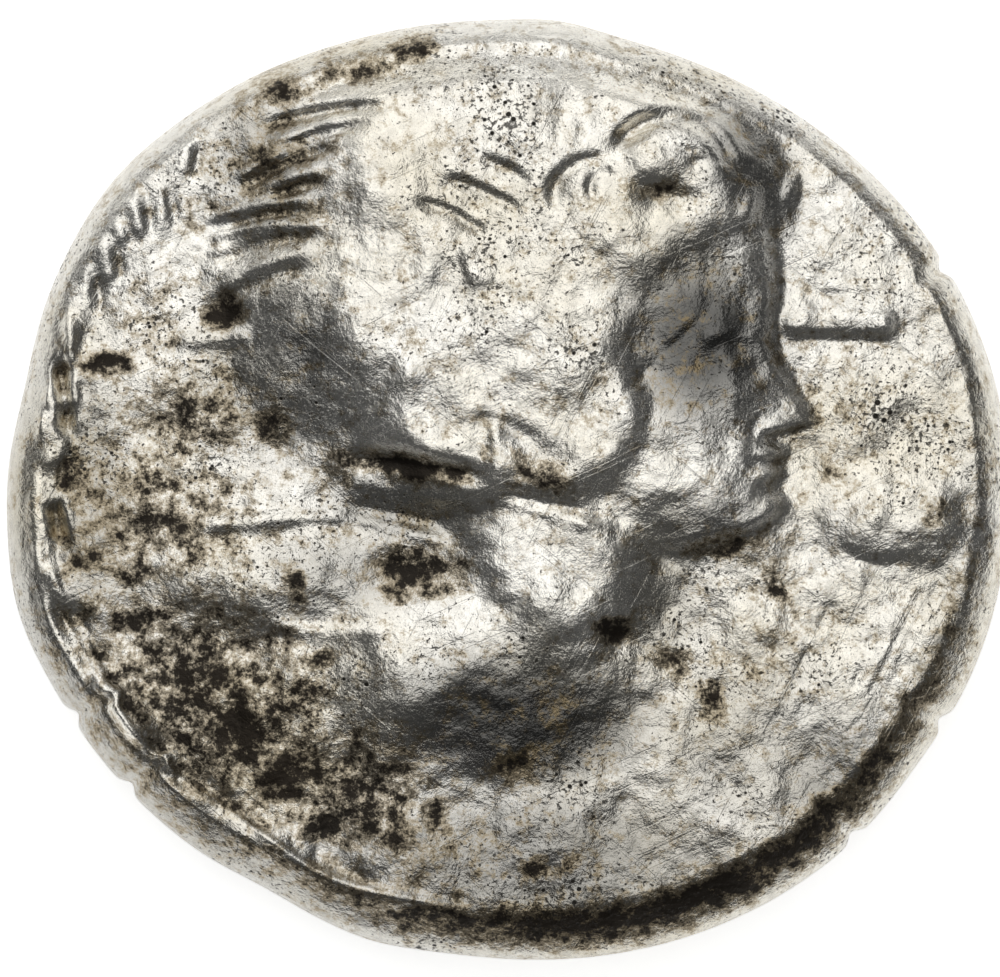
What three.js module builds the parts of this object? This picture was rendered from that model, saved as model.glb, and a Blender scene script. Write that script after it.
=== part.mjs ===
// Silver hexadrachm, struck by hand on a thick oval flan.
// Units are millimetres and up is +Z: the coin lies on its reverse, the head on the obverse looks up.
// The origin is the middle of the underside.
// The photograph's right is +X and its top is +Y.

import * as THREE from 'three';
import { mergeVertices } from 'three/addons/utils/BufferGeometryUtils.js';

// Flan
const FLAN_LENGTH = 26.0;
const FLAN_WIDTH = 24.2;
const FLAN_TURN = -12;
const FIELD_HEIGHT = 3.0;
const FIELD_CROWN = 0.28;
const EDGE_WIDEST_HEIGHT = 1.55;
const FOUR_SIDED_SWELL = 0.07;
const FOUR_SIDED_TURN = 25;

// Edge section, as widths seen from above and drops below the field
const SHOULDER_WIDTH = 0.30;
const SHOULDER_SWELL = 0.80;
const SHOULDER_WIDEST_AT = 292;
const SHOULDER_SPREAD = 62;
const SHOULDER_SLOPE = 0.62;
const SHOULDER_BEND = 1.4;
const WALL_WIDTH = 0.40;
const WALL_ROUNDING = 60;
const UNDERCUT_WIDTH = 0.95;
const SHOULDER_SHARE = 0.34;
const WALL_SHARE = 0.58;

// Uneven swells and hollows of the outline: place in degrees, rise in millimetres, spread in degrees
const OUTLINE_SWELLS = [
  { at: 84, rise: 0.13, spread: 6 },
  { at: 110, rise: -0.10, spread: 12 },
  { at: 142, rise: 0.15, spread: 10 },
  { at: 168, rise: -0.18, spread: 8 },
  { at: 194, rise: 0.15, spread: 8 },
  { at: 238, rise: -0.10, spread: 6 },
  { at: 253, rise: 0.13, spread: 7 },
  { at: 326, rise: -0.10, spread: 9 },
];

// Short cracks that opened in the edge under the blow
const EDGE_CRACKS = [207.5, 218, 315, 332, 27];
const CRACK_DEPTH = 0.20;
const CRACK_SPREAD = 1.3;

// Reverse
const LAND_SHARE = 0.86;
const DISH_SHARE = 0.78;
const DISH_DEPTH = 0.34;
const WREATH_LEAVES = 5;
const WREATH_SHARE = 0.56;
const WREATH_RISE = 0.26;
const LEAF_HALF_LENGTH = 12;
const LEAF_HALF_WIDTH = 5.6;
const LEAF_SOFTNESS = 0.65;
const LEAF_LEAN = 32;
const LEAF_SPLAY = 8.5;
const WREATH_GAP = 26;
const WREATH_FOOT_GAP = 8;
const LEAF_BLEND = 0.05;
const STEM_WIDTH = 2.2;
const STEM_RISE = 0.12;

// Fineness of the facets
const LONGEST_FACET_EDGE = 1.9;
const SHORTEST_FACET_EDGE = 0.26;
const OBVERSE_TOLERANCE = 0.033;
const EDGE_TOLERANCE = 0.07;
const REVERSE_TOLERANCE = 0.056;
const SPLIT_ROUNDS = 14;
const DRUM_SEGMENTS = 12;
const DRUM_RINGS = [0, 0.4, 0.7, 1];
const DRUM_SIDE_RINGS = [-0.72, -0.44, 1 - 2 * WALL_SHARE, 1 - 2 * SHOULDER_SHARE];

const SILVER = { color: 0xc9c5ba, metalness: 0.9, roughness: 0.42 };

// The carving is placed in hundredths of half the flan's length, its heights are in millimetres
const CARVING_UNIT = FLAN_LENGTH / 2 / 100;
const CARVING_FADE = 8;
const EDGE_CARVING_FADE = 3;
const BLEND = 0.30;
const FACE_BLEND = 0.16;

// Raised masses of the head and the dress, blended into one another
const CROWN = { rise: 1.14, at: [-5, 45], half: [57, 54], turn: 0, soft: 0.55 };
const BROW_OF_SKIN = { rise: 1.12, at: [27, 60], half: [32, 39], turn: 8, soft: 0.66 };
const CHEEK_FLAP = { rise: 1.10, at: [2, 17], half: [39, 28], turn: -8, soft: 0.46 };
const NECK = { rise: 0.88, at: [9, -13], half: [27, 30], turn: 6, soft: 0.70 };
const BUST = { rise: 0.66, at: [-9, -31], half: [46, 32], turn: 4, soft: 0.90 };
const SHOULDER_CLOTH = { rise: 0.42, at: [-44, -18], half: [34, 15], turn: -3, soft: 0.90 };
const JAW = { rise: 0.80, at: [28, 3], half: [28, 16], turn: -8, soft: 0.90 };
const FACE_OPENING = { rise: 0.72, at: [49, 26], half: [29, 33], turn: 12, soft: 0.80 };

// Smaller swellings, and hollows where the rise is negative, added to the masses
const SWELLINGS = [
  { rise: 0.18, at: [29.0, 65.2], half: [9, 6.4], turn: 0, soft: 0.9 },
  { rise: -0.16, at: [-56, 35.5], half: [6, 5.5], turn: 20, soft: 0.9 },
  { rise: -0.16, at: [-22, -5.5], half: [13, 3.2], turn: -12, soft: 0.8 },
  { rise: -0.26, at: [-21, -17.5], half: [14, 8.5], turn: 3, soft: 0.9 },
  { rise: -0.20, at: [21, -28.5], half: [4.4, 5], turn: 20, soft: 1.0 },
  { rise: 0.24, at: [79, -5], half: [23, 13], turn: 2, soft: 0.85 },
  { rise: 0.12, at: [57, 32.4], half: [4.6, 3.8], turn: 0, soft: 1.0 },
  { rise: 0.11, at: [74.2, 32.4], half: [3.8, 3.2], turn: 0, soft: 1.0 },
];

// Straight and bowed ridges, grooves where the rise is negative
const RIDGES = [
  { rise: -0.36, from: [-33, 6.6], to: [-2, 1.6], bow: 1.0, width: 2.4 },
  { rise: -0.13, from: [-8, 17.5], to: [13, 2.5], bow: 0.5, width: 2.4 },
  { rise: 0.13, from: [-33, 2.2], to: [22, -8.2], bow: -0.6, width: 1.7 },
  { rise: 0.13, from: [-64, -7.5], to: [-12, -10], bow: 2.0, width: 1.8 },
  { rise: 0.12, from: [-50, -26], to: [-20, -27.5], bow: -1.2, width: 1.8 },
  { rise: -0.13, from: [20, -26], to: [36, -38], bow: 0.5, width: 2.4 },
  { rise: -0.10, from: [64, -10], to: [82, -12.5], bow: -3.5, width: 1.8 },
  { rise: -0.19, from: [21.5, 61.2], to: [41, 60.6], bow: -3.0, width: 2.3 },
];

// Splits beside the edge at the left, with the lip that stands between them and the field
const EDGE_RIDGES = [
  { rise: -0.40, from: [-89.4, 27], to: [-86.6, 9], bow: 0.3, width: 1.9 },
  { rise: 0.16, from: [-86.0, 36], to: [-83.9, 10], bow: -0.3, width: 1.7 },
  { rise: -0.32, from: [-91.2, -1.5], to: [-88.4, -10.5], bow: 0.4, width: 1.9 },
];

// Rounded ridges and grooves, running from the first to the last angle
const CURLS = [
  { rise: -0.27, at: [32, 63.6], half: [11.2, 9.8], first: -8, last: 168, width: 2.1 },
  { rise: 0.09, at: [32, 63.6], half: [14.6, 13.2], first: 15, last: 150, width: 1.7 },
  { rise: -0.19, at: [17, 57], half: [8.2, 8.0], first: 62, last: 200, width: 1.8 },
];

// Bar in front of the forehead
const BAR = { rise: 0.26, from: [53.4, 33.0], to: [77.4, 32.4], bow: 0.3, width: 2.0 };
const BAR_TAPER = 0.12;

// Locks at the back of the head
const LOCK_COUNT = 7;
const FIRST_LOCK = { root: [-14, 86], tip: [-48, 81] };
const LAST_LOCK = { root: [-34, 49], tip: [-61, 39] };
const LOCK_RISE = 0.14;
const LOCK_CUT = 0.17;
const LOCK_WIDTH = 2.1;
const LOCK_SPREAD = 3.4;
const LOCK_BOW = 1.3;
const LOCK_TAPER = 0.3;

// Creases of the skin above the ear
const CREASE_COUNT = 3;
const CREASE_CUT = 0.15;
const CREASE_WIDTH = 1.8;
const CREASE_BOW = 0.7;
const FIRST_CREASE = [-19, 57.3];
const CREASE_STEP = [6.4, 4.3];
const CREASE_RUN = [15.5, -7.2];

// Face: a plain ideal profile, in shares of its height from hairline to chin
const HAIRLINE = 49;
const CHIN = -7;
const FOREHEAD_FRONT = 51.5;
const FACE_LENGTH = HAIRLINE - CHIN;
const FACE_EDGE_LEVEL = 0.22;
const FACE_ROUNDING = 0.62;
const FACE_ROUNDING_REACH = 28;
const CHEEK_BACK_SHARE = 0.70;
const CHEEK_FRONT = 60.5;
const CHEEK_BACK = 11;
const FACE_EDGE_WIDTH = 4.6;
const FACE_EDGE_SHIFT = 0.45;
const UNDER_JAW = { down: 0.93, reach: 0.25, widening: 34 };
const FACE_BACK = 10;
const FACE_BACK_FADE = 9;
const FACE_TOP = { down: -0.12, fade: 0.12 };
const FACE_BOTTOM = { down: 1.32, fade: 0.50 };
const CLEARED_TOP = { down: -0.16, fade: 0.20 };
const CLEARED_BOTTOM = { down: 1.14, fade: 0.16 };
const FOREHEAD = { forward: 0.03, down: 0.17, spread: 0.18 };
const NOSE = { forward: 0.15, root: 0.33, length: 0.32, base: 0.685, turn: 0.05 };
const UPPER_LIP = { forward: 0.050, down: 0.745, spread: 0.028 };
const LOWER_LIP = { forward: 0.040, down: 0.815, spread: 0.030 };
const CHIN_BALL = { forward: 0.055, down: 0.93, spread: 0.055 };
const UNDER_CHIN = { back: 0.55, down: 0.97, length: 0.24 };
const FACE_SWELLINGS = [
  { rise: 0.06, at: [-0.27, 0.60], half: [11, 9], turn: 0, soft: 1.0 },
  { rise: -0.16, at: [-0.13, 0.425], half: [9, 5.4], turn: 0, soft: 1.0 },
  { rise: 0.14, at: [-0.125, 0.43], half: [5, 2.8], turn: 0, soft: 0.9 },
  { rise: 0.08, at: [0.035, 0.645], half: [3.8, 2.7], turn: 0, soft: 1.0 },
  { rise: 0.08, at: [0, 0.748], half: [4.4, 1.9], turn: 0, soft: 1.0 },
  { rise: 0.08, at: [-0.005, 0.82], half: [4.0, 1.9], turn: 0, soft: 1.0 },
  { rise: 0.07, at: [-0.01, 0.94], half: [5, 3.6], turn: 0, soft: 1.0 },
];
const FACE_RIDGES = [
  { rise: 0.10, from: [-0.27, 0.36], to: [-0.01, 0.34], bow: 2.0, width: 1.6 },
  { rise: -0.08, from: [-0.02, 0.60], to: [-0.05, 0.70], bow: -0.8, width: 1.2 },
  { rise: -0.10, from: [-0.09, 0.785], to: [0.07, 0.78], bow: 0.3, width: 1.2 },
];

const DEGREE = Math.PI / 180;
const RIDGE_TAPER = 0.2;
const CLOSE_TO_ONE = 0.9999;
const CLOSE_TO_NOUGHT = 1e-6;

const ease = (t) => THREE.MathUtils.smoothstep(t, 0, 1);

const bell = (t) => Math.exp(-t * t);

// The angle between two directions in degrees, between nought and a half turn
function turnBetween(one, other) {
  const turn = THREE.MathUtils.euclideanModulo(one - other, 360);
  return Math.min(turn, 360 - turn);
}

// The higher of two heights, with the crease between them filled in where both stand over the field
function softMax(one, other, blend) {
  const bothRaised = THREE.MathUtils.clamp(Math.min(one, other) / blend, 0, 1);
  const overlap = (bothRaised * Math.max(blend - Math.abs(one - other), 0)) / blend;
  return Math.max(one, other) + (overlap * overlap * blend) / 4;
}

// An oval swelling: flat in the middle, falling off over the outer share named soft
function mound(x, y, { rise, at, half, turn, soft }) {
  const cos = Math.cos(turn * DEGREE);
  const sin = Math.sin(turn * DEGREE);
  const along = ((x - at[0]) * cos + (y - at[1]) * sin) / half[0];
  const across = ((y - at[1]) * cos - (x - at[0]) * sin) / half[1];
  return rise * ease((1 - Math.hypot(along, across)) / soft);
}

// A ridge between two points, bowed to its left by the bow
function ridge(x, y, { rise, from, to, bow, width }, taper = RIDGE_TAPER) {
  const runX = to[0] - from[0];
  const runY = to[1] - from[1];
  const length = Math.hypot(runX, runY);
  const along = ((x - from[0]) * runX + (y - from[1]) * runY) / (length * length);
  const offset = ((y - from[1]) * runX - (x - from[0]) * runY) / length;
  const side = offset - bow * 4 * along * (1 - along);
  return rise * bell(side / width) * ease(along / taper) * ease((1 - along) / taper);
}

function curl(x, y, { rise, at, half, first, last, width }) {
  const across = (x - at[0]) / half[0];
  const up = (y - at[1]) / half[1];
  const out = Math.max(Math.hypot(across, up), CLOSE_TO_NOUGHT);
  const side = ((out - 1) * Math.hypot(half[0] * across, half[1] * up)) / out;
  const turn = Math.atan2(up, across) / DEGREE - first;
  const along = THREE.MathUtils.euclideanModulo(turn, 360) / (last - first);
  return rise * bell(side / width) * ease(along / RIDGE_TAPER) * ease((1 - along) / RIDGE_TAPER);
}

const swell = (down, { forward, down: middle, spread }) => forward * bell((down - middle) / spread);

// How far the profile stands forward at a share of the face's height
function profileAt(down) {
  const noseSlope = ease((down - NOSE.root) / NOSE.length);
  const nose = NOSE.forward * noseSlope * ease((NOSE.base - down) / NOSE.turn);
  const lips = swell(down, UPPER_LIP) + swell(down, LOWER_LIP);
  const underChin = UNDER_CHIN.back * ease((down - UNDER_CHIN.down) / UNDER_CHIN.length);
  return swell(down, FOREHEAD) + nose + lips + swell(down, CHIN_BALL) - underChin;
}

const onFace = ([forward, down]) => [FOREHEAD_FRONT + FACE_LENGTH * forward, HAIRLINE - FACE_LENGTH * down];

// One inside the profile, nought in front of it
function behindProfile(x, y) {
  const down = (HAIRLINE - y) / FACE_LENGTH;
  const front = FOREHEAD_FRONT + FACE_LENGTH * profileAt(down);
  const edgeWidth = FACE_EDGE_WIDTH + UNDER_JAW.widening * ease((down - UNDER_JAW.down) / UNDER_JAW.reach);
  return ease((front - x) / edgeWidth + FACE_EDGE_SHIFT);
}

// One between the top and the bottom of a stretch of the face's height, fading out inside them
function between(y, top, bottom) {
  const down = (HAIRLINE - y) / FACE_LENGTH;
  return ease((down - top.down) / top.fade) * ease((bottom.down - down) / bottom.fade);
}

function faceHeight(x, y) {
  const towardsFront = ease((CHEEK_FRONT - x) / FACE_ROUNDING_REACH);
  const towardsBack = THREE.MathUtils.lerp(CHEEK_BACK_SHARE, 1, ease((x - CHEEK_BACK) / FACE_ROUNDING_REACH));
  let level = FACE_EDGE_LEVEL + FACE_ROUNDING * towardsFront * towardsBack;
  for (const part of FACE_SWELLINGS) {
    level += mound(x, y, { ...part, at: onFace(part.at) });
  }
  for (const part of FACE_RIDGES) {
    level += ridge(x, y, { ...part, from: onFace(part.from), to: onFace(part.to) });
  }
  const inside = between(y, FACE_TOP, FACE_BOTTOM) * behindProfile(x, y);
  return level * inside * ease((x - FACE_BACK) / FACE_BACK_FADE);
}

// Locks of the mane, fanned out between the first and the last, each with a cut below it
function lockHeight(x, y) {
  let height = 0;
  for (let i = 0; i < LOCK_COUNT; i += 1) {
    const share = i / (LOCK_COUNT - 1);
    const root = FIRST_LOCK.root.map((start, k) => THREE.MathUtils.lerp(start, LAST_LOCK.root[k], share));
    const tip = FIRST_LOCK.tip.map((start, k) => THREE.MathUtils.lerp(start, LAST_LOCK.tip[k], share));
    const lock = { rise: LOCK_RISE, from: tip, to: root, bow: LOCK_BOW, width: LOCK_WIDTH };
    const below = { from: [tip[0], tip[1] - LOCK_SPREAD], to: [root[0], root[1] - LOCK_SPREAD] };
    height += ridge(x, y, lock, LOCK_TAPER) + ridge(x, y, { ...lock, ...below, rise: -LOCK_CUT }, LOCK_TAPER);
  }
  return height;
}

function creaseHeight(x, y) {
  let height = 0;
  for (let i = 0; i < CREASE_COUNT; i += 1) {
    const from = FIRST_CREASE.map((start, k) => start + CREASE_STEP[k] * i);
    const to = from.map((start, k) => start + CREASE_RUN[k]);
    height += ridge(x, y, { rise: -CREASE_CUT, from, to, bow: CREASE_BOW, width: CREASE_WIDTH });
  }
  return height;
}

function carvingHeight(x, y) {
  let height = softMax(mound(x, y, CROWN), mound(x, y, BROW_OF_SKIN), BLEND);
  height = softMax(height, mound(x, y, CHEEK_FLAP), BLEND);
  height *= 1 - mound(x, y, FACE_OPENING);
  for (const mass of [NECK, BUST, SHOULDER_CLOTH, JAW]) {
    height = softMax(height, mound(x, y, mass), BLEND);
  }
  height *= 1 - between(y, CLEARED_TOP, CLEARED_BOTTOM) * (1 - behindProfile(x, y));
  height = softMax(height, faceHeight(x, y), FACE_BLEND);
  for (const part of SWELLINGS) {
    height += mound(x, y, part);
  }
  for (const part of RIDGES) {
    height += ridge(x, y, part);
  }
  for (const part of CURLS) {
    height += curl(x, y, part);
  }
  return height + ridge(x, y, BAR, BAR_TAPER) + lockHeight(x, y) + creaseHeight(x, y);
}

// Distance from the middle of the flan to its outline in a direction given in degrees
function outlineRadius(turn) {
  const angle = (turn - FLAN_TURN) * DEGREE;
  const mean = (FLAN_LENGTH + FLAN_WIDTH) / 4;
  const oval = (FLAN_LENGTH - FLAN_WIDTH) / 4;
  let radius = mean + oval * Math.cos(2 * angle);
  radius += FOUR_SIDED_SWELL * Math.cos(4 * (turn - FOUR_SIDED_TURN) * DEGREE);
  for (const { at, rise, spread } of OUTLINE_SWELLS) {
    radius += rise * bell(turnBetween(turn, at) / spread);
  }
  for (const at of EDGE_CRACKS) {
    radius -= CRACK_DEPTH * bell(turnBetween(turn, at) / CRACK_SPREAD);
  }
  return radius;
}

function shoulderWidth(turn) {
  return SHOULDER_WIDTH + SHOULDER_SWELL * bell(turnBetween(turn, SHOULDER_WIDEST_AT) / SHOULDER_SPREAD);
}

const fieldRadius = (turn) => outlineRadius(turn) - WALL_WIDTH - shoulderWidth(turn);

function obverseHeight(x, y) {
  const turn = Math.atan2(y, x) / DEGREE;
  const out = Math.hypot(x, y) / CARVING_UNIT;
  const edgeFade = ease((fieldRadius(turn) / CARVING_UNIT - out) / CARVING_FADE);
  const crown = FIELD_CROWN * (1 - (out / 100) ** 2);
  const carving = carvingHeight(x / CARVING_UNIT, y / CARVING_UNIT);
  const inset = (outlineRadius(turn) - WALL_WIDTH) / CARVING_UNIT - out;
  let edgeCarving = 0;
  for (const part of EDGE_RIDGES) {
    edgeCarving += ridge(x / CARVING_UNIT, y / CARVING_UNIT, part);
  }
  return FIELD_HEIGHT + crown + carving * edgeFade + edgeCarving * ease(inset / EDGE_CARVING_FADE);
}

// The worn wreath: two stems that rise from the bottom, with pairs of leaves
function wreathHeight(x, y) {
  const radius = (WREATH_SHARE * FLAN_WIDTH) / 2 / CARVING_UNIT;
  const stem = { rise: STEM_RISE, at: [0, 0], half: [radius, radius], width: STEM_WIDTH };
  const leafStep = (180 - WREATH_FOOT_GAP - WREATH_GAP) / WREATH_LEAVES;
  let height = curl(x, y, { ...stem, first: -90, last: 90 - WREATH_GAP });
  height += curl(x, y, { ...stem, first: 90 + WREATH_GAP, last: 270 });
  for (const side of [-1, 1]) {
    for (let i = 0; i < WREATH_LEAVES; i += 1) {
      const turn = -90 + side * (WREATH_FOOT_GAP + leafStep * (i + 0.5));
      for (const inOrOut of [-1, 1]) {
        const out = radius + inOrOut * LEAF_SPLAY;
        const at = [out * Math.cos(turn * DEGREE), out * Math.sin(turn * DEGREE)];
        const lean = turn + side * (90 - inOrOut * LEAF_LEAN);
        const half = [LEAF_HALF_LENGTH, LEAF_HALF_WIDTH];
        const leaf = mound(x, y, { rise: WREATH_RISE, at, half, turn: lean, soft: LEAF_SOFTNESS });
        height = softMax(height, leaf, LEAF_BLEND);
      }
    }
  }
  return height;
}

function reverseHeight(x, y, share) {
  const dish = DISH_DEPTH * ease((LAND_SHARE - share) / (LAND_SHARE - DISH_SHARE));
  return Math.max(dish - wreathHeight(x / CARVING_UNIT, y / CARVING_UNIT), 0);
}

// Edge section: over the rolled shoulder, down the wall to the widest line, and under to the land
function edgePoint(turn, share) {
  const outline = outlineRadius(turn);
  const shoulder = shoulderWidth(turn);
  const shoulderHeight = FIELD_HEIGHT - shoulder * SHOULDER_SLOPE;
  let radius;
  let height;
  if (share < SHOULDER_SHARE) {
    const down = share / SHOULDER_SHARE;
    radius = fieldRadius(turn) + shoulder * down;
    const topHeight = obverseHeight(radius * Math.cos(turn * DEGREE), radius * Math.sin(turn * DEGREE));
    height = THREE.MathUtils.lerp(topHeight, shoulderHeight, down ** SHOULDER_BEND);
  } else if (share < WALL_SHARE) {
    const bend = WALL_ROUNDING * DEGREE;
    const up = (bend * (WALL_SHARE - share)) / (WALL_SHARE - SHOULDER_SHARE);
    radius = outline - (WALL_WIDTH * (1 - Math.cos(up))) / (1 - Math.cos(bend));
    height = THREE.MathUtils.lerp(EDGE_WIDEST_HEIGHT, shoulderHeight, Math.sin(up) / Math.sin(bend));
  } else {
    const down = ((Math.PI / 2) * (share - WALL_SHARE)) / (1 - WALL_SHARE);
    radius = outline - UNDERCUT_WIDTH * (1 - Math.cos(down));
    height = EDGE_WIDEST_HEIGHT * (1 - Math.sin(down));
  }
  return new THREE.Vector3(radius * Math.cos(turn * DEGREE), radius * Math.sin(turn * DEGREE), height);
}

// Places a point of a unit drum, of radius one between heights of minus one and one, on the coin
function placeOnCoin(drumPoint) {
  const turn = Math.atan2(drumPoint.y, drumPoint.x) / DEGREE;
  const share = Math.hypot(drumPoint.x, drumPoint.y);
  if (Math.abs(drumPoint.z) < 1) {
    return edgePoint(turn, (1 - drumPoint.z) / 2);
  }
  const isTop = drumPoint.z > 0;
  const reach = isTop ? fieldRadius(turn) : outlineRadius(turn) - UNDERCUT_WIDTH;
  const x = share * reach * Math.cos(turn * DEGREE);
  const y = share * reach * Math.sin(turn * DEGREE);
  return new THREE.Vector3(x, y, isTop ? obverseHeight(x, y) : reverseHeight(x, y, share));
}

// Halfway between two drum points; points on the drum's round side stay on it
function halfwayOnDrum(one, other) {
  const middle = one.clone().add(other).multiplyScalar(0.5);
  const bothOnSide = [one, other].every((point) => Math.hypot(point.x, point.y) > CLOSE_TO_ONE);
  if (bothOnSide) {
    const out = Math.hypot(middle.x, middle.y);
    middle.x /= out;
    middle.y /= out;
  }
  return middle;
}

// A unit drum with a few rings of facets on its two flat sides and down its round side
function makeDrum() {
  const bottomRings = DRUM_RINGS.map((out) => new THREE.Vector2(out, -1));
  const sideRings = DRUM_SIDE_RINGS.map((up) => new THREE.Vector2(1, up));
  const topRings = DRUM_RINGS.map((out) => new THREE.Vector2(out, 1)).reverse();
  const drum = new THREE.LatheGeometry([...bottomRings, ...sideRings, ...topRings], DRUM_SEGMENTS);
  drum.rotateX(Math.PI / 2);
  drum.deleteAttribute('normal');
  drum.deleteAttribute('uv');
  return mergeVertices(drum);
}

// Splits the facets of the drum until they follow the coin within the tolerances
class CoinFacets {
  constructor(drum) {
    const positions = drum.getAttribute('position');
    this.drumPoints = [];
    for (let i = 0; i < positions.count; i += 1) {
      this.drumPoints.push(new THREE.Vector3().fromBufferAttribute(positions, i));
    }
    this.points = this.drumPoints.map(placeOnCoin);
    this.corners = [];
    for (let i = 0; i < drum.index.count; i += 3) {
      const facet = [drum.index.getX(i), drum.index.getX(i + 1), drum.index.getX(i + 2)];
      const isRealFacet = new Set(facet).size === 3;
      if (isRealFacet) {
        this.corners.push(facet);
      }
    }
  }

  edgeName(a, b) {
    return a < b ? `${a} ${b}` : `${b} ${a}`;
  }

  edgeLength(a, b) {
    return this.points[a].distanceTo(this.points[b]);
  }

  // Inside the obverse and the reverse only the height counts, along the edge the whole distance
  isTooCoarse(a, b) {
    const length = this.edgeLength(a, b);
    if (length < SHORTEST_FACET_EDGE) {
      return false;
    }
    if (length > LONGEST_FACET_EDGE) {
      return true;
    }
    const middle = halfwayOnDrum(this.drumPoints[a], this.drumPoints[b]);
    const isOnEdge = Math.hypot(middle.x, middle.y) > CLOSE_TO_ONE;
    const faceTolerance = middle.z > 0 ? OBVERSE_TOLERANCE : REVERSE_TOLERANCE;
    const quarters = [
      { share: 0.25, drumPoint: halfwayOnDrum(this.drumPoints[a], middle) },
      { share: 0.5, drumPoint: middle },
      { share: 0.75, drumPoint: halfwayOnDrum(middle, this.drumPoints[b]) },
    ];
    return quarters.some(({ share, drumPoint }) => {
      const straight = this.points[a].clone().lerp(this.points[b], share);
      const miss = placeOnCoin(drumPoint).sub(straight);
      return isOnEdge ? miss.length() > EDGE_TOLERANCE : Math.abs(miss.z) > faceTolerance;
    });
  }

  longestSide([a, b, c]) {
    const sides = [[a, b], [b, c], [c, a]];
    return sides.reduce((best, side) => (this.edgeLength(...side) > this.edgeLength(...best) ? side : best));
  }

  // Marks the coarse edges, and with any edge of a facet its longest one, so that facets stay stout
  markEdges() {
    const verdicts = new Map();
    const marked = new Set();
    for (const [a, b, c] of this.corners) {
      for (const [p, q] of [[a, b], [b, c], [c, a]]) {
        const name = this.edgeName(p, q);
        if (!verdicts.has(name)) {
          verdicts.set(name, this.isTooCoarse(p, q));
        }
        if (verdicts.get(name)) {
          marked.add(name);
        }
      }
    }
    let before = -1;
    while (marked.size > before) {
      before = marked.size;
      for (const [a, b, c] of this.corners) {
        const hasMark = [[a, b], [b, c], [c, a]].some(([p, q]) => marked.has(this.edgeName(p, q)));
        if (hasMark) {
          marked.add(this.edgeName(...this.longestSide([a, b, c])));
        }
      }
    }
    return marked;
  }

  splitMarked(marked) {
    const middles = new Map();
    for (const name of marked) {
      const [a, b] = name.split(' ').map(Number);
      const middle = halfwayOnDrum(this.drumPoints[a], this.drumPoints[b]);
      middles.set(name, this.points.length);
      this.drumPoints.push(middle);
      this.points.push(placeOnCoin(middle));
    }
    this.corners = this.corners.flatMap((facet) => this.splitFacet(facet, middles));
  }

  // Cuts a facet at the middle of its longest marked edge, and then the two halves in the same way
  splitFacet(facet, middles) {
    const [a, b, c] = facet;
    const turns = [[a, b, c], [b, c, a], [c, a, b]].filter(([p, q]) => middles.has(this.edgeName(p, q)));
    if (turns.length === 0) {
      return [facet];
    }
    const longest = turns.reduce((best, turn) => {
      return this.edgeLength(turn[0], turn[1]) > this.edgeLength(best[0], best[1]) ? turn : best;
    });
    const [p, q, opposite] = longest;
    const middle = middles.get(this.edgeName(p, q));
    return [[p, middle, opposite], [middle, q, opposite]].flatMap((half) => this.splitFacet(half, middles));
  }

  toGeometry() {
    const geometry = new THREE.BufferGeometry();
    geometry.setFromPoints(this.points);
    geometry.setIndex(this.corners.flat());
    return geometry;
  }
}

function buildCoin() {
  const facets = new CoinFacets(makeDrum());
  for (let round = 0; round < SPLIT_ROUNDS; round += 1) {
    const marked = facets.markEdges();
    facets.splitMarked(marked);
  }
  const geometry = facets.toGeometry();
  geometry.computeBoundingBox();
  const middle = geometry.boundingBox.getCenter(new THREE.Vector3());
  geometry.translate(-middle.x, -middle.y, -geometry.boundingBox.min.z);
  geometry.computeVertexNormals();
  return geometry;
}

const coin = new THREE.Mesh(buildCoin(), new THREE.MeshStandardMaterial(SILVER));
coin.name = 'coin';

const hexadrachm = new THREE.Group();
hexadrachm.add(coin);

export default hexadrachm;
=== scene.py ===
import bmesh
import bpy
import numpy as np
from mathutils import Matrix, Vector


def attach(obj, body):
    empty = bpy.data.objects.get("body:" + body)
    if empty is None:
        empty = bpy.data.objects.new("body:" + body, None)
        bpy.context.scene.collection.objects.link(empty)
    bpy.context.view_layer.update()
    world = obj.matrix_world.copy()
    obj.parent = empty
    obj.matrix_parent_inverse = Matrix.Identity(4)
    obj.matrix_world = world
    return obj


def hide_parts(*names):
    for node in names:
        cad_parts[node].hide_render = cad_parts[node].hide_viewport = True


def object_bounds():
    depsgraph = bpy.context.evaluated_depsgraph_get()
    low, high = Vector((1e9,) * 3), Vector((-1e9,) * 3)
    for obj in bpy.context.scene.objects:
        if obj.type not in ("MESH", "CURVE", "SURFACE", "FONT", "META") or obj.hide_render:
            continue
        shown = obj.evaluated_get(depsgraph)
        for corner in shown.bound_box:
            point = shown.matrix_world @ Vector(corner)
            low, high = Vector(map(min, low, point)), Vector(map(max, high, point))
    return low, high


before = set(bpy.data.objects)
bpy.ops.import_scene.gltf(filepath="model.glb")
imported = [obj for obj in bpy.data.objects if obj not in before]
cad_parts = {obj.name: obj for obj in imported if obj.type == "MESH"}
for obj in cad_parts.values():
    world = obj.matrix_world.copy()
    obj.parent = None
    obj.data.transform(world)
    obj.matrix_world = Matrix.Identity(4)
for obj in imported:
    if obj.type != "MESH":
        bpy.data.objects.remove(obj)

cad_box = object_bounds()

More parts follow.
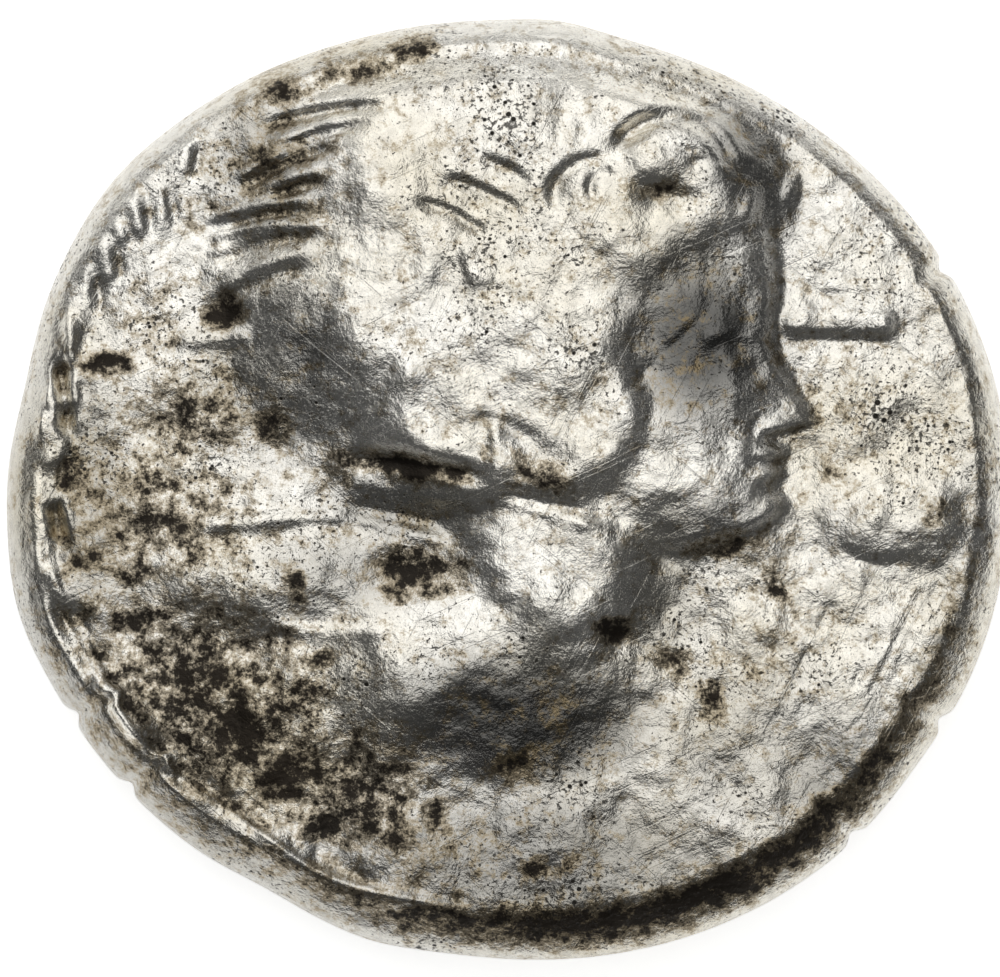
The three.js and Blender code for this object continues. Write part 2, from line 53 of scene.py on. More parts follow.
# The coin: one thick oval blank of silver, cast, then struck by hand between two dies.
# The head stands about 1.2 mm over the field, and the blank's rolled edge split in a few places.
# Lengths here are millimetres; the carving is placed in hundredths of half the coin's length.
FLAN_LENGTH = 26.0
FLAN_WIDTH = 24.2
FLAN_TURN = -12.0
FIELD_HEIGHT = 3.0
FIELD_CROWN = 0.28
EDGE_WIDEST_HEIGHT = 1.55
SHOULDER_WIDTH = 0.30
SHOULDER_SWELL = 0.80
SHOULDER_WIDEST_AT = 292.0
SHOULDER_SPREAD = 62.0
SHOULDER_SLOPE = 0.62
WALL_WIDTH = 0.40
WALL_ROUNDING = 60.0
UNDERCUT_WIDTH = 0.95
UNIT = FLAN_LENGTH / 2 / 100

# Place in degrees, rise in millimetres and spread in degrees of each swell of the outline
OUTLINE_SWELLS = [(84, 0.13, 6), (110, -0.10, 12), (142, 0.15, 10), (168, -0.18, 8),
                  (194, 0.15, 8), (238, -0.10, 6), (253, 0.13, 7), (326, -0.10, 9)]
EDGE_CRACKS = [207.5, 218, 315, 332, 27]
CRACK_DEPTH = 0.20
CRACK_SPREAD = 1.0


def ease(t):
    t = np.clip(t, 0, 1)
    return t * t * (3 - 2 * t)


def bell(t):
    return np.exp(-t * t)


def turn_between(one, other):
    turn = (one - other) % 360
    return np.minimum(turn, 360 - turn)


def soft_max(one, other, blend):
    """The higher of two heights, with the crease between them filled in where both stand over the field."""
    standing = np.clip(np.minimum(one, other) / blend, 0, 1)
    overlap = np.maximum(blend - np.abs(one - other), 0) / blend * standing
    return np.maximum(one, other) + overlap * overlap * blend / 4


def mound(x, y, at, half, turn=0.0, soft=1.0):
    """An oval swelling of height one: flat in the middle, falling off over its outer share named soft."""
    cos, sin = np.cos(np.radians(turn)), np.sin(np.radians(turn))
    along = ((x - at[0]) * cos + (y - at[1]) * sin) / half[0]
    across = ((y - at[1]) * cos - (x - at[0]) * sin) / half[1]
    return ease((1 - np.hypot(along, across)) / soft)


def beside_line(x, y, start, end, bow):
    """How far along a line a point is, as a share, and how far left of it; the line bows left by bow."""
    run = np.subtract(end, start)
    length = np.hypot(*run)
    along = ((x - start[0]) * run[0] + (y - start[1]) * run[1]) / length**2
    side = ((y - start[1]) * run[0] - (x - start[0]) * run[1]) / length
    return along, side - bow * 4 * along * (1 - along)


def ridge(x, y, start, end, width, bow=0.0, taper=0.2):
    along, side = beside_line(x, y, start, end, bow)
    return bell(side / width) * ease(along / taper) * ease((1 - along) / taper)


def ledge(x, y, start, end, width, reach, bow=0.0, taper=0.25):
    """A crisp edge: nothing right of the line, one just left of it, easing back to nothing over the reach."""
    along, side = beside_line(x, y, start, end, bow)
    fall = ease(side / width + 0.5) * ease(1 - (side - width / 2) / reach)
    return fall * ease(along / taper) * ease((1 - along) / taper)


def curl(x, y, at, half, first, last, width, taper=0.2):
    """A ridge along an oval, counterclockwise from the first angle to the last."""
    across, up = (x - at[0]) / half[0], (y - at[1]) / half[1]
    out = np.maximum(np.hypot(across, up), 1e-6)
    side = (out - 1) * np.hypot(half[0] * across, half[1] * up) / out
    along = (np.degrees(np.arctan2(up, across)) - first) % 360 / (last - first)
    return bell(side / width) * ease(along / taper) * ease((1 - along) / taper)


# The face is a plain ideal one, laid out in thirds from hairline to chin
HAIRLINE = 49.0
CHIN = -7.0
FOREHEAD_FRONT = 51.5
FACE_LENGTH = HAIRLINE - CHIN


def profile_front(down):
    """How far forward the face stands, at a share of the way down from hairline to chin."""
    forehead = 0.03 * bell((down - 0.17) / 0.18)
    nose = 0.15 * ease((down - 0.33) / 0.32) * ease((0.685 - down) / 0.05)
    lips = 0.050 * bell((down - 0.745) / 0.028) + 0.040 * bell((down - 0.815) / 0.030)
    chin = 0.055 * bell((down - 0.93) / 0.055)
    under = 0.55 * ease((down - 0.97) / 0.24)
    return FOREHEAD_FRONT + FACE_LENGTH * (forehead + nose + lips + chin - under)


def on_face(forward, down):
    """A place on the face, in shares of its length: forward of the forehead and down from the hairline."""
    return FOREHEAD_FRONT + FACE_LENGTH * forward, HAIRLINE - FACE_LENGTH * down


def behind_profile(x, y):
    """One behind the profile and nought in front of it, with a wider slope under the chin."""
    down = (HAIRLINE - y) / FACE_LENGTH
    edge_width = 4.6 + 34 * ease((down - 0.93) / 0.25)
    return ease((profile_front(down) - x) / edge_width + 0.45)


def face_height(x, y):
    """The level of the face, then cheek, eye socket, eyeball, lids, brow, nostril, mouth, lips and chin."""
    down = (HAIRLINE - y) / FACE_LENGTH
    level = 0.22 + 0.62 * ease((FOREHEAD_FRONT + 9 - x) / 28) * (0.70 + 0.30 * ease((x - 11) / 25))
    level += 0.06 * mound(x, y, on_face(-0.27, 0.60), (11, 9))
    level -= 0.16 * mound(x, y, on_face(-0.13, 0.425), (9, 5.4))
    level += 0.13 * mound(x, y, on_face(-0.125, 0.43), (4.8, 2.6), 0, 0.9)
    level += 0.05 * ridge(x, y, on_face(-0.22, 0.43), on_face(-0.04, 0.42), 0.8, 2.3)
    level += 0.03 * ridge(x, y, on_face(-0.20, 0.45), on_face(-0.06, 0.455), 0.8, -1.6)
    level += 0.09 * ridge(x, y, on_face(-0.27, 0.36), on_face(-0.01, 0.34), 1.5, 2.0)
    level += 0.08 * mound(x, y, on_face(0.035, 0.645), (3.6, 2.5))
    level -= 0.06 * ridge(x, y, on_face(-0.02, 0.60), on_face(-0.05, 0.70), 1.0, -0.8)
    level -= 0.09 * ridge(x, y, on_face(-0.09, 0.785), on_face(0.07, 0.78), 0.9, 0.3, 0.3)
    level += 0.07 * mound(x, y, on_face(0.0, 0.748), (4.4, 1.8))
    level += 0.07 * mound(x, y, on_face(-0.005, 0.82), (4.0, 1.8))
    level -= 0.05 * ridge(x, y, on_face(-0.06, 0.873), on_face(0.05, 0.873), 1.2)
    level += 0.07 * mound(x, y, on_face(-0.01, 0.94), (5, 3.6))
    inside = ease((down + 0.12) / 0.12) * ease((1.32 - down) / 0.50)
    back = ease((x - 10) / 9)
    return level * inside * back * behind_profile(x, y)


# How far masses of the head melt into each other where they meet, in millimetres of height
MASS_BLEND = 0.30
FACE_BLEND = 0.16


def masses_height(x, y):
    """Crown, brow and cheek flap of the animal skin, the opening for the face, then neck, dress and jaw."""
    crown = 1.14 * mound(x, y, (-5, 45), (57, 54), 0, 0.55)
    brow = 1.12 * mound(x, y, (27, 60), (32, 39), 8, 0.66)
    cheek_flap = 1.10 * mound(x, y, (2, 17), (39, 28), -8, 0.46)
    height = soft_max(soft_max(crown, brow, MASS_BLEND), cheek_flap, MASS_BLEND)
    height = height * (1 - 0.72 * mound(x, y, (49, 26), (29, 33), 12, 0.80))
    neck = 0.88 * mound(x, y, (9, -13), (27, 30), 6, 0.70)
    dress = 0.66 * mound(x, y, (-9, -31), (46, 32), 4, 0.9)
    sleeve = 0.42 * mound(x, y, (-44, -18), (34, 15), -3, 0.9)
    jaw = 0.80 * mound(x, y, (28, 3), (28, 16), -8, 0.9)
    for mass in (neck, dress, sleeve, jaw):
        height = soft_max(height, mass, MASS_BLEND)
    down = (HAIRLINE - y) / FACE_LENGTH
    beside_face = ease((down + 0.16) / 0.2) * ease((1.14 - down) / 0.16)
    height = height * (1 - beside_face * (1 - behind_profile(x, y)))
    return soft_max(height, face_height(x, y), FACE_BLEND)


# Tip and root of each lock of the mane, how far it bows upwards and how deep the cut under it is
LOCKS = [((-44, 81.6), (-18, 84.0), 1.0, 0.22), ((-53, 73.1), (-23, 78.0), 1.2, 0.24),
         ((-48, 67.7), (-27, 75.0), 0.8, 0.20), ((-56, 60.2), (-32, 70.6), 1.5, 0.20),
         ((-49, 59.0), (-36, 63.2), 0.8, 0.15), ((-61, 52.8), (-38, 57.6), 1.0, 0.16),
         ((-60, 49.6), (-40, 53.2), 0.8, 0.12), ((-61, 45.6), (-35, 52.5), 1.6, 0.16),
         ((-58, 38.6), (-38, 46.8), 1.6, 0.16)]
LOCK_RISE = 0.08


def locks_height(x, y):
    """Each lock is a thin ridge with a cut under it; above them are a few soft waves of hair."""
    height = 0
    for tip, root, bow, cut in LOCKS:
        height = height + LOCK_RISE * ridge(x, y, tip, root, 0.85, bow, 0.2)
        below_tip, below_root = (tip[0] + 1.5, tip[1] - 2.1), (root[0] + 1.0, root[1] - 2.4)
        height = height - cut * ridge(x, y, below_tip, below_root, 1.35, bow, 0.3)
    height = height - 0.16 * mound(x, y, (-56, 35.5), (6, 5.5), 20, 0.9)
    height = height + 0.10 * ridge(x, y, (-66, 29.5), (-50, 30.5), 1.6)
    for i in range(4):
        start, end = (-20 + 11 * i, 84 + 1.5 * i), (-4 + 8 * i, 88 - 2.2 * i)
        height = height + 0.05 * ridge(x, y, start, end, 2.0, 1.0)
    return height


def skin_details_height(x, y):
    """Eye of the skin with its brow and lids, the coil behind it, three creases and the bar in front."""
    height = -0.27 * curl(x, y, (32, 63.6), (11.2, 9.8), -8, 168, 1.9)
    height += 0.08 * curl(x, y, (32, 63.6), (14.2, 12.6), 15, 150, 1.3)
    height += 0.18 * mound(x, y, (29.0, 65.2), (9, 6.4), 0, 0.9)
    height -= 0.21 * ridge(x, y, (22.5, 60.8), (43, 60.2), 2.6, -3.2, 0.45)
    height -= 0.09 * ridge(x, y, (34, 64.4), (42.4, 65.2), 0.9, 0, 0.4)
    height += 0.07 * ridge(x, y, (30, 68.6), (42, 66.6), 0.8, 0.8, 0.35)
    height -= 0.18 * curl(x, y, (17, 57), (8.2, 8.0), 62, 200, 1.5, 0.3)
    height -= 0.10 * curl(x, y, (19.5, 59.5), (3.4, 3.2), 60, 230, 0.9)
    height += 0.08 * mound(x, y, (20.8, 63.8), (2.6, 1.8), -20, 1)
    for at, half in (((52, 70), (3, 7)), ((56, 60), (2.4, 6)), ((48, 56), (2.6, 6))):
        height += 0.12 * mound(x, y, at, half, -18, 1)
    creases = (((-19, 57.3), (-3.5, 50), 0.11), ((-13, 61.7), (3.5, 54.2), 0.13),
               ((-6, 65.5), (4.5, 59.8), 0.09))
    for start, end, cut in creases:
        height -= cut * ridge(x, y, start, end, 1.0, 0.7)
        height += 0.3 * cut * ridge(x, y, (start[0], start[1] + 2.2), (end[0], end[1] + 2.2), 1.0, 0.7)
    height += 0.10 * ledge(x, y, (-9, 50), (-5.6, 38.5), 2.0, 9, -1.4)
    height += 0.09 * ledge(x, y, (20, 37.4), (-6, 38), 2.0, 8, 1.6)
    height += 0.12 * np.minimum(1.6 * ridge(x, y, (53.4, 33.4), (77.4, 32.8), 2.1, 0.3, 0.12), 1)
    height += 0.10 * mound(x, y, (57, 33.0), (4.8, 4.2))
    height += 0.10 * mound(x, y, (74.2, 33.0), (4.0, 3.6))
    height += 0.08 * ridge(x, y, (54.6, 40.0), (62.5, 34.5), 1.6, -0.8, 0.4)
    height += 0.05 * mound(x, y, (66, 33.6), (2.8, 2.2))
    height -= 0.12 * ridge(x, y, (54, 29.2), (77, 29.0), 1.5, 0.3, 0.2)
    height -= 0.05 * ridge(x, y, (60, 38.0), (74, 37.6), 1.2, 0.6, 0.4)
    return height


def dress_details_height(x, y):
    """Deep cut and thin lip under the skin's rim, the collar and folds, and the hollow by the neck."""
    height = 0.12 * ledge(x, y, (-4.5, 18), (-4, 1), 2.6, 9, 1.2)
    height -= 0.12 * ridge(x, y, (-8, 17.5), (13, 2.5), 2.4, 0.5, 0.35)
    height -= 0.32 * ridge(x, y, (-33, 6.6), (-2, 1.6), 2.0, 1.0, 0.2)
    height += 0.07 * ridge(x, y, (-33, 2.2), (-2, -3.4), 1.1, -0.4, 0.2)
    height -= 0.11 * ridge(x, y, (-6, 0.6), (23, -6.5), 1.2, 0.2, 0.25)
    height += 0.05 * ridge(x, y, (-4, -1.6), (22, -8.2), 1.0, 0.0, 0.25)
    height += 0.14 * ridge(x, y, (-64, -7.5), (-27, -5.5), 1.5, 1.0, 0.25)
    height += 0.09 * ridge(x, y, (-32, -5), (-10, -11), 1.1, 0.3, 0.25)
    height -= 0.16 * mound(x, y, (-22, -5.5), (13, 3.2), -12, 0.8)
    height -= 0.26 * mound(x, y, (-21, -17.5), (14, 8.5), 3, 0.9)
    height += 0.10 * ridge(x, y, (-50, -26), (-20, -27.5), 1.7, -1.2, 0.25)
    height -= 0.10 * ridge(x, y, (-64, -10.5), (-38, -10), 1.8, 0.5, 0.3)
    height -= 0.20 * mound(x, y, (21, -28.5), (4.4, 5), 20, 1)
    height -= 0.10 * ridge(x, y, (20, -26), (36, -38), 2.4, 0.5, 0.4)
    height += 0.24 * mound(x, y, (79, -5), (23, 13), 2, 0.85)
    height -= 0.09 * ridge(x, y, (64, -10), (82, -12.5), 1.5, -3.5, 0.3)
    return height


def border_height(x, y):
    """Worn strokes of the border at the upper left, and the split and the flake at the left edge."""
    height = 0.16 * ridge(x, y, (-87.0, 36), (-84.9, 10), 1.1, -0.3, 0.15)
    height -= 0.40 * ridge(x, y, (-89.4, 27), (-86.6, 9), 1.5, 0.3, 0.25)
    height += 0.10 * mound(x, y, (-91.0, 20), (3.4, 5), 25, 0.5)
    height += 0.16 * mound(x, y, (-93.0, 13.5), (2.6, 5), 12, 0.8)
    height -= 0.34 * ridge(x, y, (-91.2, -1.5), (-88.4, -10.5), 1.5, 0.4, 0.35)
    height += 0.12 * ridge(x, y, (-88.6, 1), (-86.0, -11), 0.9, 0.3, 0.3)
    strokes = (((-62.4, 70.5), (-64.2, 61.5), -0.6), ((-70.4, 63), (-67.8, 50.5), 0.5),
               ((-75.2, 60), (-72.6, 49.0), 0.5), ((-78.2, 54), (-75.6, 48.5), 0),
               ((-80.6, 51), (-79.0, 40.0), 0.5), ((-85.0, 46), (-82.8, 34), 0.6))
    for start, end, bow in strokes:
        beside_start, beside_end = (start[0] + 2.5, start[1] - 1), (end[0] + 2.5, end[1] - 0.5)
        height += 0.09 * ridge(x, y, start, end, 1.6, bow, 0.3)
        height -= 0.09 * ridge(x, y, beside_start, beside_end, 0.9, bow, 0.45)
    return height


# Straight scratches from handling, as start and end
SCRATCHES = [((60, -30), (53, -46)), ((64, -22), (61, -28)), ((68, -40), (70, -35)), ((83, -18), (71, -41)),
             ((85.5, -18), (80, -27)), ((80, -27), (75.5, -40)), ((67, -48), (70, -45)), ((22, 18), (40, 36)),
             ((-31, -7), (-20, -9)), ((36, -52), (47, -60))]
SCRATCH_DEPTH = 0.045
SCRATCH_WIDTH = 0.7

# The metal's waviness, with the lengths in millimetres
WAVES = 70
LONGEST_WAVE = 5.0
SHORTEST_WAVE = 0.5
WAVE_RISE = 0.0036


def unevenness(x, y):
    """The slight waviness of hand-struck, worn metal: many sine waves, each as high as its length allows."""
    chance = np.random.default_rng(7)
    height = 0
    for i in range(WAVES):
        length = LONGEST_WAVE * (SHORTEST_WAVE / LONGEST_WAVE) ** (i / WAVES)
        lean = chance.uniform(0, 2 * np.pi)
        phase = chance.uniform(0, 2 * np.pi)
        along = x * np.cos(lean) + y * np.sin(lean)
        height = height + WAVE_RISE * length**0.8 * np.sin(2 * np.pi / length * along + phase)
    return height


def outline_radius(turn):
    """The blank's outline: a leaning oval, a little four-sided, with swells and cracks."""
    angle = np.radians(turn - FLAN_TURN)
    radius = (FLAN_LENGTH + FLAN_WIDTH) / 4 + (FLAN_LENGTH - FLAN_WIDTH) / 4 * np.cos(2 * angle)
    radius += 0.07 * np.cos(4 * np.radians(turn - 25))
    for at, rise, spread in OUTLINE_SWELLS:
        radius += rise * bell(turn_between(turn, at) / spread)
    for at in EDGE_CRACKS:
        radius -= CRACK_DEPTH * bell(turn_between(turn, at) / CRACK_SPREAD)
    return radius


def shoulder_width(turn):
    return SHOULDER_WIDTH + SHOULDER_SWELL * bell(turn_between(turn, SHOULDER_WIDEST_AT) / SHOULDER_SPREAD)


# The uneven lip inside the lower left edge, and the flaking metal at the left.
# Insets and fades are in hundredths of half the coin's length, and middles are in degrees round it.
LIP_RISE = 0.17
LIP_INSET = 10.2
LIP_WAVER = 0.9
LIP_WAVERS = 13
LIP_MIDDLE = 222.0
FLAKING_GAIN = 3.0
FLAKING_MIDDLE = 205.0
CARVING_FADE = 8.0


def obverse_height(x, y):
    """Height of the struck side: domed field, carving, scratches, lip and border, flakes and waviness."""
    turn = np.degrees(np.arctan2(y, x))
    out = np.hypot(x, y) / UNIT
    edge = outline_radius(turn)
    inset = edge / UNIT - out
    field = (edge - WALL_WIDTH - shoulder_width(turn)) / UNIT
    px, py = x / UNIT, y / UNIT
    carving = masses_height(px, py) + locks_height(px, py) + skin_details_height(px, py)
    carving += dress_details_height(px, py)
    for start, end in SCRATCHES:
        carving -= SCRATCH_DEPTH * ridge(px, py, start, end, SCRATCH_WIDTH, 0, 0.1)
    lip_reach = ease((62 - turn_between(turn, LIP_MIDDLE)) / 26)
    lip_inset = LIP_INSET + LIP_WAVER * np.sin(np.radians(LIP_WAVERS * turn))
    lip_slope = np.clip((inset - 3) / (lip_inset - 3), 0, 1)
    rim = LIP_RISE * lip_reach * ease((lip_inset - inset) / 1.6 + 0.5) * lip_slope
    rim = rim + border_height(px, py) * ease((inset - WALL_WIDTH / UNIT) / 3)
    flaking_reach = ease((16 - inset) / 8) * ease((60 - turn_between(turn, FLAKING_MIDDLE)) / 25)
    flaking = FLAKING_GAIN * flaking_reach * unevenness(y, x)
    raised = carving * ease((field - out) / CARVING_FADE) + rim + flaking * ease((field - out) / 3)
    return FIELD_HEIGHT + FIELD_CROWN * (1 - (out / 100) ** 2) + raised + unevenness(x, y)


# Reverse: a level border, and in the dish a worn wreath of two stems with pairs of leaves
LAND_SHARE = 0.86
DISH_SHARE = 0.78
DISH_DEPTH = 0.34
WREATH_SHARE = 0.56
STEM_RISE = 0.12
LEAF_PAIRS = 5
LEAF_RISE = 0.26


def reverse_height(x, y, share):
    px, py = x / UNIT, y / UNIT
    radius = WREATH_SHARE * FLAN_WIDTH / 2 / UNIT
    wreath = STEM_RISE * curl(px, py, (0, 0), (radius, radius), -90, 64, 2.2)
    wreath += STEM_RISE * curl(px, py, (0, 0), (radius, radius), 116, 270, 2.2)
    for side in (-1, 1):
        for i in range(LEAF_PAIRS):
            turn = -90 + side * (8 + 146 * (i + 0.5) / LEAF_PAIRS)
            along = np.radians(turn)
            for out in (-1, 1):
                at = ((radius + out * 8.5) * np.cos(along), (radius + out * 8.5) * np.sin(along))
                lean = turn + side * (90 - out * 32)
                leaf = LEAF_RISE * mound(px, py, at, (12, 5.6), lean, 0.65)
                vein = 1 - 0.30 * mound(px, py, at, (10, 0.9), lean)
                wreath = soft_max(wreath, leaf * vein, 0.05)
    dish = DISH_DEPTH * ease((LAND_SHARE - share) / (LAND_SHARE - DISH_SHARE))
    return np.maximum(dish - wreath, 0)


# A unit drum is laid out first: a grid for the obverse, with its border drawn down for the wall
# and then in for the reverse
GRID_CELLS = 232
SHOULDER_ROWS = 5
WALL_ROWS = 4
UNDER_ROWS = 6
REVERSE_ROWS = 26
coin_mesh = bmesh.new()
bmesh.ops.create_grid(coin_mesh, x_segments=GRID_CELLS, y_segments=GRID_CELLS, size=1.0)
for vert in coin_mesh.verts:
    # Squares the grid off to a round disc, at height one
    u, v = vert.co.x, vert.co.y
    vert.co = (u * (1 - v * v / 2) ** 0.5, v * (1 - u * u / 2) ** 0.5, 1.0)
rows = SHOULDER_ROWS + WALL_ROWS + UNDER_ROWS
border = [edge for edge in coin_mesh.edges if edge.is_boundary]
for row in range(rows + REVERSE_ROWS - 1):
    made = bmesh.ops.extrude_edge_only(coin_mesh, edges=border)["geom"]
    border = [part for part in made if isinstance(part, bmesh.types.BMEdge)]
    ring = [part for part in made if isinstance(part, bmesh.types.BMVert)]
    if row < rows:
        for vert in ring:
            vert.co.z = 1 - 2 * (row + 1) / rows
    else:
        share = 1 - (row + 1 - rows) / REVERSE_ROWS
        scale = share / (share + 1 / REVERSE_ROWS)
        for vert in ring:
            vert.co.x *= scale
            vert.co.y *= scale
made = bmesh.ops.extrude_edge_only(coin_mesh, edges=border)["geom"]
middle = [part for part in made if isinstance(part, bmesh.types.BMVert)]
bmesh.ops.pointmerge(coin_mesh, verts=middle, merge_co=(0, 0, -1))
bmesh.ops.recalc_face_normals(coin_mesh, faces=coin_mesh.faces)
coin = bpy.data.objects.new("struck_coin", bpy.data.meshes.new("struck_coin"))
bpy.context.scene.collection.objects.link(coin)
coin_mesh.to_mesh(coin.data)
coin_mesh.free()

# The drum is then moved to the coin's own section: obverse, rolled shoulder, wall, under side and reverse
NEARLY_ONE = 0.9999
SHOULDER_ROLL = 1.4
count = len(coin.data.vertices)
drum = np.empty(count * 3)
coin.data.vertices.foreach_get("co", drum)
drum = drum.reshape(-1, 3)
turn = np.degrees(np.arctan2(drum[:, 1], drum[:, 0]))
share = np.hypot(drum[:, 0], drum[:, 1])
is_top = drum[:, 2] > NEARLY_ONE
is_bottom = drum[:, 2] < -NEARLY_ONE
edge_row = (1 - drum[:, 2]) / 2 * rows
on_shoulder = edge_row <= SHOULDER_ROWS
on_wall = edge_row <= SHOULDER_ROWS + WALL_ROWS
down = np.clip(edge_row / SHOULDER_ROWS, 0, 1)
up = np.radians(WALL_ROUNDING) * np.clip(1 - (edge_row - SHOULDER_ROWS) / WALL_ROWS, 0, 1)
under = np.pi / 2 * np.clip((edge_row - SHOULDER_ROWS - WALL_ROWS) / UNDER_ROWS, 0, 1)
bend = np.radians(WALL_ROUNDING)
outline = outline_radius(turn)
shoulder = shoulder_width(turn)
field_radius = outline - WALL_WIDTH - shoulder
wall_radius = outline - WALL_WIDTH * (1 - np.cos(up)) / (1 - np.cos(bend))
under_radius = outline - UNDERCUT_WIDTH * (1 - np.cos(under))
shoulder_radius = field_radius + shoulder * down
reverse_radius = share * (outline - UNDERCUT_WIDTH)
radii = [share * field_radius, reverse_radius, shoulder_radius, wall_radius]
radius = np.select([is_top, is_bottom, on_shoulder, on_wall], radii, under_radius)
x = radius * np.cos(np.radians(turn))
y = radius * np.sin(np.radians(turn))
top_height = obverse_height(x, y)
shoulder_foot = FIELD_HEIGHT - shoulder * SHOULDER_SLOPE
shoulder_height = top_height + (shoulder_foot - top_height) * down**SHOULDER_ROLL
wall_height = EDGE_WIDEST_HEIGHT + (shoulder_foot - EDGE_WIDEST_HEIGHT) * np.sin(up) / np.sin(bend)
under_height = EDGE_WIDEST_HEIGHT * (1 - np.sin(under))
heights = [reverse_height(x, y, share), shoulder_height, wall_height]
height = np.select([is_bottom, on_shoulder, on_wall], heights, under_height)

# Hollows, where dirt and toning stay: how far a point lies below the mean of a ring of points round it
HOLLOW_REACH = 0.35
RING_POINTS = 6
hollow = np.zeros(count)
for angle in np.radians(np.arange(0, 360, 360 / RING_POINTS)):
    beside = obverse_height(x + HOLLOW_REACH * np.cos(angle), y + HOLLOW_REACH * np.sin(angle))
    hollow += (beside - height) / RING_POINTS
hollow = np.where(is_top, hollow, 0)

# Patches of toning and of painted shade, each as its middle, its half sizes, its lean and its strength.
# Toning, a black and brown silver sulphide, lies most of all at the lower left.
TONING_PATCHES = [
    (-58, -42, 46, 34, -40, 0.54), (-30, -60, 34, 22, -25, 0.5), (-70, -5, 28, 26, 0, 0.42),
    (-62, 14, 24, 18, 0, 0.4), (-83, -14, 7, 7, 0, 0.5), (-73, -16, 9, 6, 0, 0.5), (-62, -13, 5, 7, 0, 0.5),
    (-53, -13, 4, 5, 0, 0.4), (-42, -19, 5, 8, 0, 0.5), (-82, -24, 6, 5, 0, 0.4), (-74, -26, 9, 6, 0, 0.6),
    (-74, -33, 6, 8, 0, 0.4), (-66, -46, 7, 7, 0, 0.4), (-50, -48, 12, 8, 0, 0.7), (-45, -57, 13, 10, 0, 0.7),
    (-38, -34, 8, 4, 0, 0.5), (-37, -66, 10, 7, 0, 0.6), (-24, -69, 8, 6, 0, 0.5), (-22, -56, 6, 6, 0, 0.4),
    (-14, -63, 7, 6, 0, 0.4), (-18, -16, 15, 10, 0, 0.6), (-86, 3, 6, 9, 0, 0.55), (-80, 25, 10, 5, 0, 0.6),
    (-62, 17, 8, 5, 0, 0.45), (-47, 13, 12, 7, -30, 0.4), (-33, 5, 8, 8, 0, 0.45), (-18, 4, 17, 4.5, -9, 0.8),
    (-56, 35, 7, 6, 0, 0.7), (-45, 79, 10, 6, 10, 0.5), (-19, 87, 9, 3.5, 5, 0.6), (-30, 83, 14, 4, 5, 0.5),
    (-45, 62, 18, 22, 20, 0.3), (21, -28, 6, 6, 0, 0.7), (33, -35, 8, 5, -30, 0.45),
    (40, -42, 5, 8, 20, 0.55), (53, -19, 7, 8, 10, 0.45), (44, -11, 12, 6, 0, 0.45), (5, -75, 5, 6, 0, 0.45),
    (12, -73, 4, 5, 0, 0.4), (1, -54, 7, 6, 0, 0.5), (10, -45, 5, 11, 0, 0.35), (30, 59, 11, 3, 5, 0.4),
    (5, 3, 14, 5, -25, 0.45), (65, 3, 6, 5, 0, 0.3), (85, -4, 6, 5, 0, 0.3), (64, 16, 15, 15, 0, 0.17),
    (-70, 34, 13, 15, 0, 0.2), (-58, 60, 8, 18, -20, 0.17), (50, -34, 24, 14, 30, 0.14),
    (24, 24, 26, 12, 0, 0.06)]
# Painted shade: a smooth, even grey laid where slopes and recesses face away from the softboxes, in the
# opening, under the crown and on the dress
PAINTED_SHADE_PATCHES = [
    (38, 30, 22, 27, 10, 1.0), (48, 64, 12, 22, 20, 0.7), (-46, 22, 22, 26, 20, 0.35),
    (-40, 28, 9, 12, 20, 0.7), (2, -46, 38, 20, 0, 1.0), (30, -22, 14, 18, 20, 0.3),
    (64, -56, 22, 16, 40, 0.5), (-20, -4, 24, 10, -8, 0.5), (40, -8, 16, 10, -10, 0.4),
    (-47, 64, 16, 26, 20, 0.45), (-30, -16, 26, 12, 0, 0.4), (-82, -4, 12, 40, 0, 0.4),
    (6, -74, 58, 24, 0, 0.62), (46, -52, 30, 24, 40, 0.3)]


def strongest_patch(patches, soft):
    """At each point of the coin, the strength of the strongest patch that reaches it."""
    strongest = np.zeros(count)
    for at_x, at_y, half_x, half_y, lean, strength in patches:
        patch = strength * mound(x / UNIT, y / UNIT, (at_x, at_y), (half_x, half_y), lean, soft)
        strongest = np.maximum(strongest, patch)
    return strongest


# The rolled shoulder gets black painted shade at the lower right, where it is widest and slopes away from the
# light, and the edge is grey at the lower left
SHOULDER_SHADE_AT = 290
SHOULDER_SHADE_INSET = 7.0
EDGE_GREY_AT = 215
REVERSE_TONING = 0.35
REVERSE_TARNISH = 0.3
inset = (outline - radius) / UNIT
shoulder_painted_shade = bell(turn_between(turn, SHOULDER_SHADE_AT) / 50) * bell((inset - SHOULDER_SHADE_INSET) / 3.6)
shoulder_painted_shade = np.where(height > EDGE_WIDEST_HEIGHT, shoulder_painted_shade, 0)
edge_grey = 0.16 + 0.34 * bell(turn_between(turn, EDGE_GREY_AT) / 55)
# Painted shade: the shoulder's black goes into the toning mask, and its grey into the grey mask below
toning_and_painted_shade = np.maximum(strongest_patch(TONING_PATCHES, 1.0), 0.75 * shoulder_painted_shade)
toning_and_painted_shade = np.where(is_bottom, REVERSE_TONING * mound(x / UNIT, y / UNIT, (10, 20), (70, 60)), toning_and_painted_shade)
# Painted shade: a grey mask from the shade patches and the shoulder, with a plain grey on the edge and the
# reverse
painted_shade_and_tarnish = strongest_patch(PAINTED_SHADE_PATCHES, 0.8)
painted_shade_and_tarnish = np.where(is_top, painted_shade_and_tarnish, np.maximum(painted_shade_and_tarnish, edge_grey))
painted_shade_and_tarnish = np.maximum(painted_shade_and_tarnish, 0.8 * shoulder_painted_shade)
painted_shade_and_tarnish = np.where(is_bottom, REVERSE_TARNISH, painted_shade_and_tarnish)

